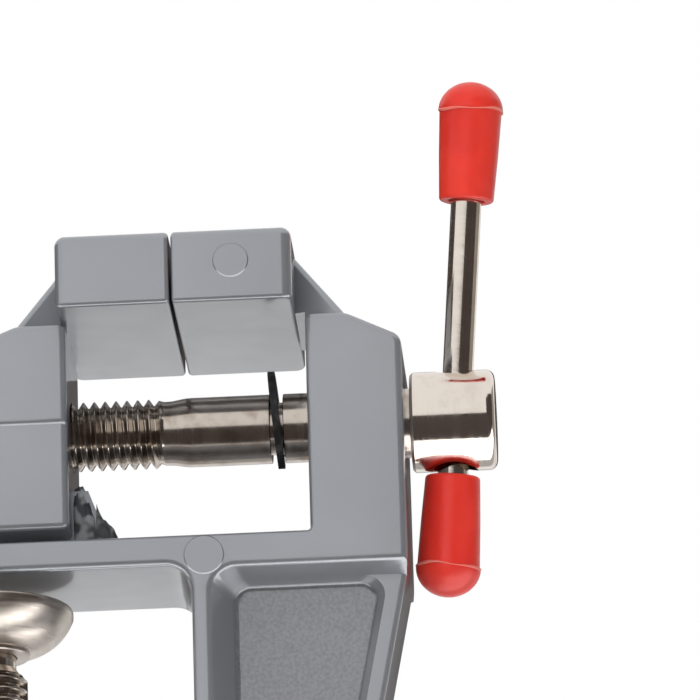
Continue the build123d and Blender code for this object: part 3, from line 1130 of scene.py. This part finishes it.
@dataclass
class Studio:
    """Floor, lamps, cards that the metal mirrors, world and camera."""

    floor_level: float = -109.0
    floor_glow: float = 0.3
    floor_half: float = 5000.0
    azimuth: float = 2.53
    elevation: float = -18.69
    roll: float = -1.71
    focal_pixels: float = 8000.0
    target: tuple[float, float, float] = (41.71, 0.0, 27.55)
    distance: float = 918.6
    sensor: float = 36.0
    clip_range: Span = (0.01, 20.0)
    card_rise: float = 4.0
    world_light: float = 0.14
    lamp_aim: tuple[float, float, float] = (20.0, 0.0, 0.0)
    lamp_lie: tuple[float, float, float] = (0.0, 1.0, 0.2)

    def camera(self) -> None:
        """Sets the camera that was fitted to edges of the photograph, with no shift."""
        a, e, r = np.radians((self.azimuth, self.elevation, self.roll))
        back = np.array([np.sin(a) * np.cos(e), -np.cos(a) * np.cos(e), np.sin(e)])
        right = np.array([np.cos(a), np.sin(a), 0.0])
        up = np.cross(back, right)
        x_axis = np.cos(r) * right + np.sin(r) * up
        y_axis = np.cos(r) * up - np.sin(r) * right
        place = (np.asarray(self.target) + back * self.distance) * MM
        data = bpy.data.cameras.new("photo_camera")
        data.sensor_width = self.sensor
        data.lens = self.focal_pixels / PHOTO_SIDE * self.sensor
        data.clip_start, data.clip_end = self.clip_range
        camera = bpy.data.objects.new("photo_camera", data)
        camera.matrix_world = pose(x_axis, y_axis, back, place)
        bpy.context.scene.collection.objects.link(camera)
        bpy.context.scene.camera = camera

    def sheet(
        self, name: str, centre: Sequence[float], right: Sequence[float], up: Sequence[float],
        material: Material,
    ) -> bpy.types.Object:
        """Makes a flat stage sheet: centre plus or minus right plus or minus up.

        Args:
            name: Name of the sheet.
            centre: Its middle, in millimetres.
            right: From the middle to its right edge.
            up: From the middle to its upper edge.
            material: Its finish.

        Returns:
            The sheet.
        """
        corners = np.array([(-1, -1), (1, -1), (1, 1), (-1, 1)], float)
        points = (np.asarray(centre, float) + corners @ np.array([right, up], float)) * MM
        mesh = bpy.data.meshes.new(name)
        mesh.from_pydata(points, [], [(0, 1, 2, 3)])
        mesh.materials.append(material)
        sheet = bpy.data.objects.new(name, mesh)
        bpy.context.scene.collection.objects.link(sheet)
        return sheet

    def floor(self) -> None:
        """Lays the pale floor, clear from below because the photograph looks up from there."""
        web = NodeWeb("pale_floor")
        cloud = web.remap(web.noise(3.0, 2.0), 0.3, 0.7)
        pale = web.mix(cloud, (0.86, 0.86, 0.86), (0.83, 0.83, 0.83))
        ray = web.add("ShaderNodeLightPath").outputs["Is Camera Ray"]
        seen = web.remap(ray, 0.0, 1.0, 0.0, self.floor_glow)
        web.finish(Base_Color=pale, Roughness=0.9, Specular_IOR_Level=0.0,
                   Emission_Color=pale, Emission_Strength=seen)
        clear = web.add("ShaderNodeBsdfTransparent")
        choose = web.add("ShaderNodeMixShader")
        side = web.add("ShaderNodeNewGeometry")
        web.feed(choose.inputs[0], side.outputs["Backfacing"])
        web.feed(choose.inputs[1], web.shader.outputs[0])
        web.feed(choose.inputs[2], clear.outputs[0])
        web.feed(web.tree.nodes["Material Output"].inputs["Surface"], choose.outputs[0])
        half = self.floor_half
        self.sheet("floor", (0, 0, self.floor_level), (half, 0, 0), (0, half, 0), web.material)

    def card_material(self, name: str, colour: Colour, glow: float) -> Material:
        """Makes a card's material: a matt, slightly cloudy colour that glows by itself.

        Args:
            name: Name of the material.
            colour: Its colour.
            glow: Strength of its glow.

        Returns:
            The material.
        """
        web = NodeWeb(name)
        cloud = web.remap(web.noise(4.0, 2.0), 0.3, 0.7)
        mixed = web.mix(cloud, colour, tuple(0.9 * part for part in colour))
        return web.finish(Base_Color=(0.01, 0.01, 0.01, 1.0), Roughness=0.9, Specular_IOR_Level=0.0,
                          Emission_Color=mixed, Emission_Strength=glow)

    def cards(self) -> None:
        """Stands glowing cards round the object that only mirrors see: painted bright, dark and
        brownish reflections that light and shade nothing.
        """
        # Dark, bright, pale and brownish glows: painted reflections only, not lamps.
        dark = self.card_material("dark_card", (1.0, 0.82, 0.76), 0.075)
        bright = self.card_material("bright_card", (1.0, 1.0, 1.0), 3.4)
        pale = self.card_material("pale_card", (1.0, 1.0, 1.0), 1.0)
        brown = self.card_material("brown_card", (1.0, 0.91, 0.82), 0.34)
        level = self.floor_level + self.card_rise
        rows = (
            ("front_card", (60.0, -1290.0, level), (1500.0, 0.0, 0.0), (0.0, 1215.0, 0.0), dark),
            ("right_card", (880.0, -742.0, 415.0), (646.0, 742.0, 0.0), (0.0, 0.0, 575.0), dark),
            ("left_card", (-1000.0, 420.0, 200.0), (-160.0, 620.0, 0.0), (0.0, 0.0, 420.0), dark),
            ("under_card", (-158.0, 10.0, level), (203.0, 0.0, 0.0), (0.0, 64.0, 0.0), bright),
            ("head_card", (242.0, 0.0, level), (197.0, 0.0, 0.0), (0.0, 74.0, 0.0), bright),
            ("back_card", (40.0, 1000.0, level), (1500.0, 0.0, 0.0), (0.0, 760.0, 0.0), pale),
            ("left_far_card", (-705.0, 1020.0, 200.0), (455.0, -20.0, 0.0), (0.0, 0.0, 420.0),
             dark),
            ("right_far_card", (900.0, 330.0, 250.0), (-120.0, 330.0, 0.0), (0.0, 0.0, 420.0),
             brown),
            ("behind_card", (50.0, 420.0, 165.0), (130.0, 0.0, 0.0), (0.0, 0.0, 115.0), dark),
        )
        for name, centre, right, up, material in rows:
            card = self.sheet(name, centre, right, up, material)
            card.visible_camera = False
            card.visible_diffuse = False
            card.visible_shadow = False

    def world(self) -> None:
        """Sets a world that is white to the camera and to mirrors, and a softer light elsewhere."""
        world = bpy.data.worlds.new("studio")
        world.use_nodes = True
        bpy.context.scene.world = world
        tree = world.node_tree
        ground = tree.nodes["Background"]
        ground.inputs["Color"].default_value = (1.0, 1.0, 1.0, 1.0)
        path = tree.nodes.new("ShaderNodeLightPath")
        seen = path.outputs["Is Camera Ray"]
        for name in ("Is Glossy Ray", "Is Transmission Ray"):
            most = tree.nodes.new("ShaderNodeMath")
            most.operation = "MAXIMUM"
            tree.links.new(seen, most.inputs[0])
            tree.links.new(path.outputs[name], most.inputs[1])
            seen = most.outputs[0]
        strength = tree.nodes.new("ShaderNodeMapRange")
        strength.inputs["To Min"].default_value = self.world_light
        strength.inputs["To Max"].default_value = 1.0
        tree.links.new(seen, strength.inputs["Value"])
        tree.links.new(strength.outputs[0], ground.inputs["Strength"])

    def lamps(self) -> None:
        """Hangs the soft lamps, which mirrors do not see: name, place, size and power."""
        rows = (
            ("top_lamp", (-50.0, -250.0, 650.0), 600.0, 1.7),
            ("front_lamp", (-120.0, -800.0, 160.0), 600.0, 3.9),
            ("left_lamp", (-600.0, -350.0, 150.0), 500.0, 0.8),
            ("right_lamp", (600.0, -450.0, 200.0), 500.0, 1.0),
            ("back_lamp", (100.0, 650.0, 350.0), 500.0, 1.0),
            ("low_lamp", (68.0, -8.0, -104.0), 170.0, 0.08),
        )
        for name, place, size, power in rows:
            data = bpy.data.lights.new(name, "AREA")
            data.shape = "SQUARE"
            data.size = size * MM
            data.energy = power
            lamp = bpy.data.objects.new(name, data)
            back = unit(np.asarray(place) - np.asarray(self.lamp_aim))
            right = unit(np.cross(self.lamp_lie, back))
            lamp.matrix_world = pose(right, np.cross(back, right), back, np.asarray(place) * MM)
            lamp.visible_camera = False
            lamp.visible_glossy = False
            bpy.context.scene.collection.objects.link(lamp)

    def build(self) -> None:
        """Builds the studio and sets the plain view transform."""
        bpy.context.scene.view_settings.view_transform = "Standard"
        self.world()
        self.floor()
        self.cards()
        self.lamps()
        self.camera()


def main() -> None:
    """Builds the vise and its studio in order."""
    logging.basicConfig(level=logging.INFO, format="%(name)s: %(message)s")
    finishes = Finishes()
    CastFrame().build(finishes)
    SlidingJaw().build(finishes)
    x_axis, y_axis, z_axis = np.eye(3)
    ViseScrew(Turned(np.array([0.0, 0.0, SCREW_HEIGHT]), x_axis, y_axis)).build(finishes)
    lean, turn = np.radians((BAR_LEAN_DEG, BAR_TURN_DEG))
    turned_up = np.array([0.0, -np.sin(turn), np.cos(turn)])
    bar_way = np.sin(lean) * x_axis + np.cos(lean) * turned_up
    bar_side = np.cos(lean) * x_axis - np.sin(lean) * turned_up
    TommyHandle(
        "vise", "vise_screw_head", "vise_bar", ("vise_bar_cap_lower", "vise_bar_cap_upper"),
        Body.VISE_SCREW, Body.VISE_BAR,
        Turned(np.array([VISE_HEAD_PLACE, 0.0, SCREW_HEIGHT]), bar_way, bar_side),
        -BAR_REACH, BAR_REACH + BAR_TRAVEL, Along.X, Along.Z,
    ).build(finishes)
    TableClamp(Turned(np.zeros(3), -z_axis, x_axis)).build(finishes)
    TommyHandle(
        "clamp", "clamp_screw_head", "clamp_bar", ("clamp_bar_cap_left", "clamp_bar_cap_right"),
        Body.CLAMP_SCREW, Body.CLAMP_BAR,
        Turned(np.array([0.0, 0.0, CLAMP_HEAD_HEIGHT]), x_axis, z_axis),
        -BAR_REACH - BAR_TRAVEL / 2, BAR_REACH + BAR_TRAVEL / 2, Along.Z, Along.X,
    ).build(finishes)
    Studio().build()


if __name__ == "__main__":
    main()
